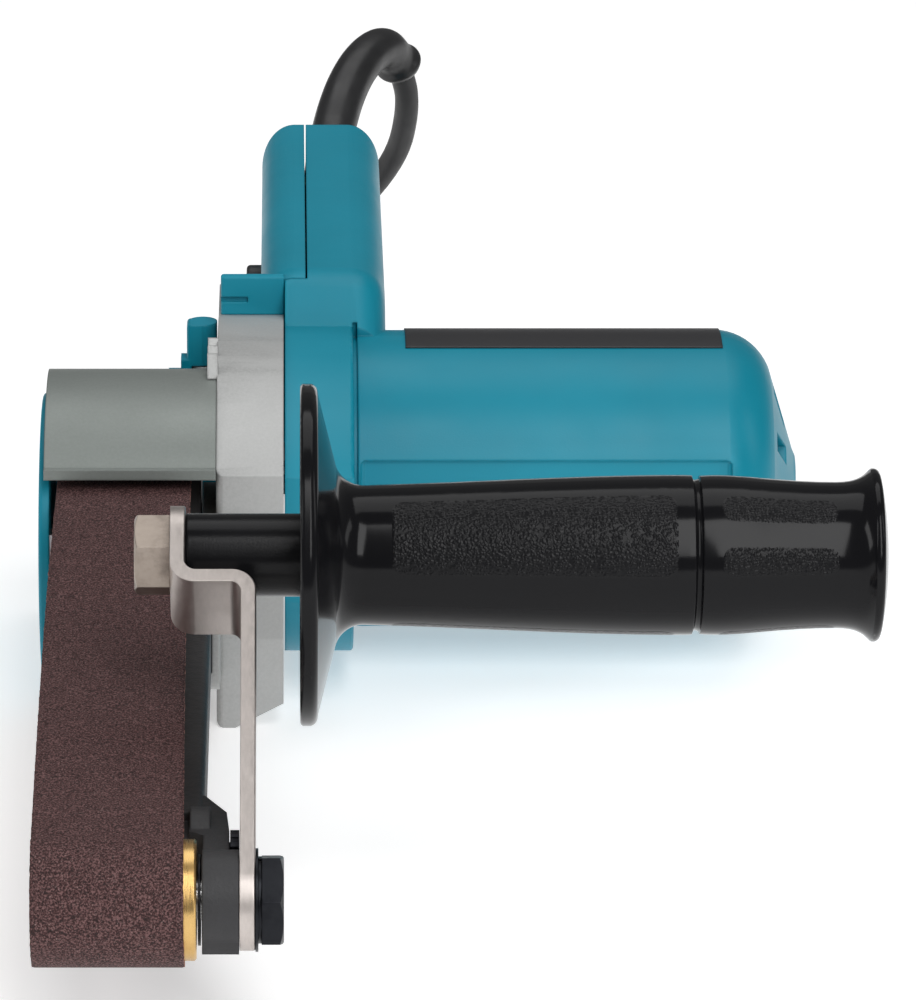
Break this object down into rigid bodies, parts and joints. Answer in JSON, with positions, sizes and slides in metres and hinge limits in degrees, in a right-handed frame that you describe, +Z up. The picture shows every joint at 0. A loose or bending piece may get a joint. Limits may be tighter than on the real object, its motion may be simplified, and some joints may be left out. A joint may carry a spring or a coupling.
{
  "type": "handheld belt sander",
  "caption": "Narrow handheld belt sander with a long belt arm, a sideways motor barrel, a trigger handle and a side grip on a steel bracket.",
  "frame": {"origin": "centre of the tool's box on the surface that it rests on, without the cord", "axes": "+X towards the motor barrel's end, +Y towards the trigger handle, +Z up"},
  "size_m": [0.178, 0.4574, 0.1171],
  "materials": {
    "teal_plastic": "fine moulded grain",
    "black_plastic": "glossy with leather grain panels",
    "dark_plastic": "moulded",
    "cast_aluminium": "fine cast grain, satin",
    "turned_aluminium": "turned",
    "black_casting": "black rough casting",
    "strap_steel": "warm grey, sheared edges",
    "bright_steel": "ground",
    "nickel_steel": "weathered nickel",
    "black_steel": "black oxide",
    "spring_steel": "oiled",
    "lamination": "stacked sheet",
    "copper": "varnished wire and bars",
    "brass": "turned",
    "carbon": "pressed carbon",
    "graphite": "graphite cloth",
    "abrasive": "aluminium oxide grit on cloth",
    "rubber": "matte",
    "pulley_rubber": "ground",
    "plate": "satin printed film",
    "board": "lacquered"
  },
  "bodies": {
    "housing": {"gear_housing": "cast_aluminium", "belt_guard": "cast_aluminium", "hinge_pin": "bright_steel", "housing_screws": "black_steel", "motor_housing": "teal_plastic", "handle_cover": "teal_plastic", "handle_screws": "bright_steel", "name_plate": "plate", "bearing_plate": "turned_aluminium", "field_stator": "lamination", "field_coils": "copper", "motor_bearings": "bright_steel", "brush_holders": "brass", "carbon_brushes": "carbon", "brush_caps": "dark_plastic", "shaft_bearings": "bright_steel", "sanding_belt": "abrasive", "arm_spring": "spring_steel", "trigger_pin": "bright_steel", "switch_body": "dark_plastic", "dial_pin": "bright_steel", "control_board": "board", "cord_clamp": "dark_plastic", "cord_guard": "rubber", "cord_lead": "rubber", "cord_coil": "rubber", "cord_tail": "rubber", "cord_tie": "dark_plastic", "mains_plug": "rubber"},
    "armature": {"armature_shaft": "bright_steel", "armature_core": "lamination", "armature_windings": "copper", "commutator": "copper", "fan": "dark_plastic"},
    "drive_train": {"drive_shaft": "bright_steel", "drive_gear": "bright_steel", "drive_pulley": "turned_aluminium", "pulley_tyre": "pulley_rubber", "pulley_nut": "bright_steel"},
    "arm": {"belt_arm": "black_casting", "platen": "bright_steel", "platen_pad": "graphite", "platen_screws": "black_steel", "idler_axle": "bright_steel", "idler_clip": "spring_steel", "idler_washer": "black_steel", "bracket_bolt": "black_steel", "bolt_washers": "black_steel"},
    "idler": {"idler_pulley": "brass"},
    "grip": {"grip_bracket": "strap_steel", "grip_bolt": "nickel_steel", "spacer_tube": "black_steel", "grip_insert": "bright_steel", "side_grip": "black_plastic"},
    "cover": {"belt_cover": "teal_plastic", "cover_catch": "spring_steel"},
    "trigger": {"trigger": "dark_plastic"},
    "lock": {"lock_button": "dark_plastic"},
    "dial": {"speed_dial": "dark_plastic"},
    "tracker": {"tracking_knob": "black_steel"}
  },
  "joints": [
    {"name": "armature_spin", "type": "hinge", "parent": "housing", "child": "armature", "pos_m": [-0.034, 0.06203, 0.0387], "axis": [1, 0, 0], "continuous": true},
    {"name": "drive_spin", "type": "hinge", "parent": "housing", "child": "drive_train", "pos_m": [-0.034, 0.03452, 0.0335], "axis": [1, 0, 0], "continuous": true},
    {"name": "belt_tension", "type": "slide", "parent": "housing", "child": "arm", "axis": [0, 1, 0], "range_m": [0, 0.01], "stiffness_N_per_m": 3000, "springref_m": -0.01, "deforming": ["arm_spring"]},
    {"name": "idler_spin", "type": "hinge", "parent": "arm", "child": "idler", "pos_m": [-0.034, -0.17582, 0.0335], "axis": [1, 0, 0], "continuous": true},
    {"name": "bracket_pivot", "type": "hinge", "parent": "arm", "child": "grip", "pos_m": [-0.034, -0.17582, 0.0335], "axis": [1, 0, 0], "range_deg": [-12, 75]},
    {"name": "cover_hinge", "type": "hinge", "parent": "housing", "child": "cover", "pos_m": [-0.053, 0.07952, 0.0335], "axis": [0, 0, 1], "range_deg": [-100, 0]},
    {"name": "trigger_pull", "type": "hinge", "parent": "housing", "child": "trigger", "pos_m": [-0.034, 0.11502, 0.0515], "axis": [1, 0, 0], "range_deg": [0, 7], "stiffness_Nm_per_rad": 1, "springref_deg": -5.73},
    {"name": "lock_push", "type": "slide", "parent": "housing", "child": "lock", "axis": [1, 0, 0], "range_m": [0, 0.003], "stiffness_N_per_m": 400, "springref_m": -0.002},
    {"name": "speed_turn", "type": "hinge", "parent": "housing", "child": "dial", "pos_m": [-0.034, 0.17152, 0.0545], "axis": [1, 0, 0], "range_deg": [0, 270]},
    {"name": "tracking_turn", "type": "hinge", "parent": "arm", "child": "tracker", "pos_m": [-0.034, -0.15998, 0.0371], "axis": [1, 0, 0], "range_deg": [-180, 180]}
  ],
  "couplings": [
    {"joint": "drive_spin", "follows": "armature_spin", "ratio": -0.21739},
    {"joint": "idler_spin", "follows": "armature_spin", "ratio": -0.38723}
  ]
}
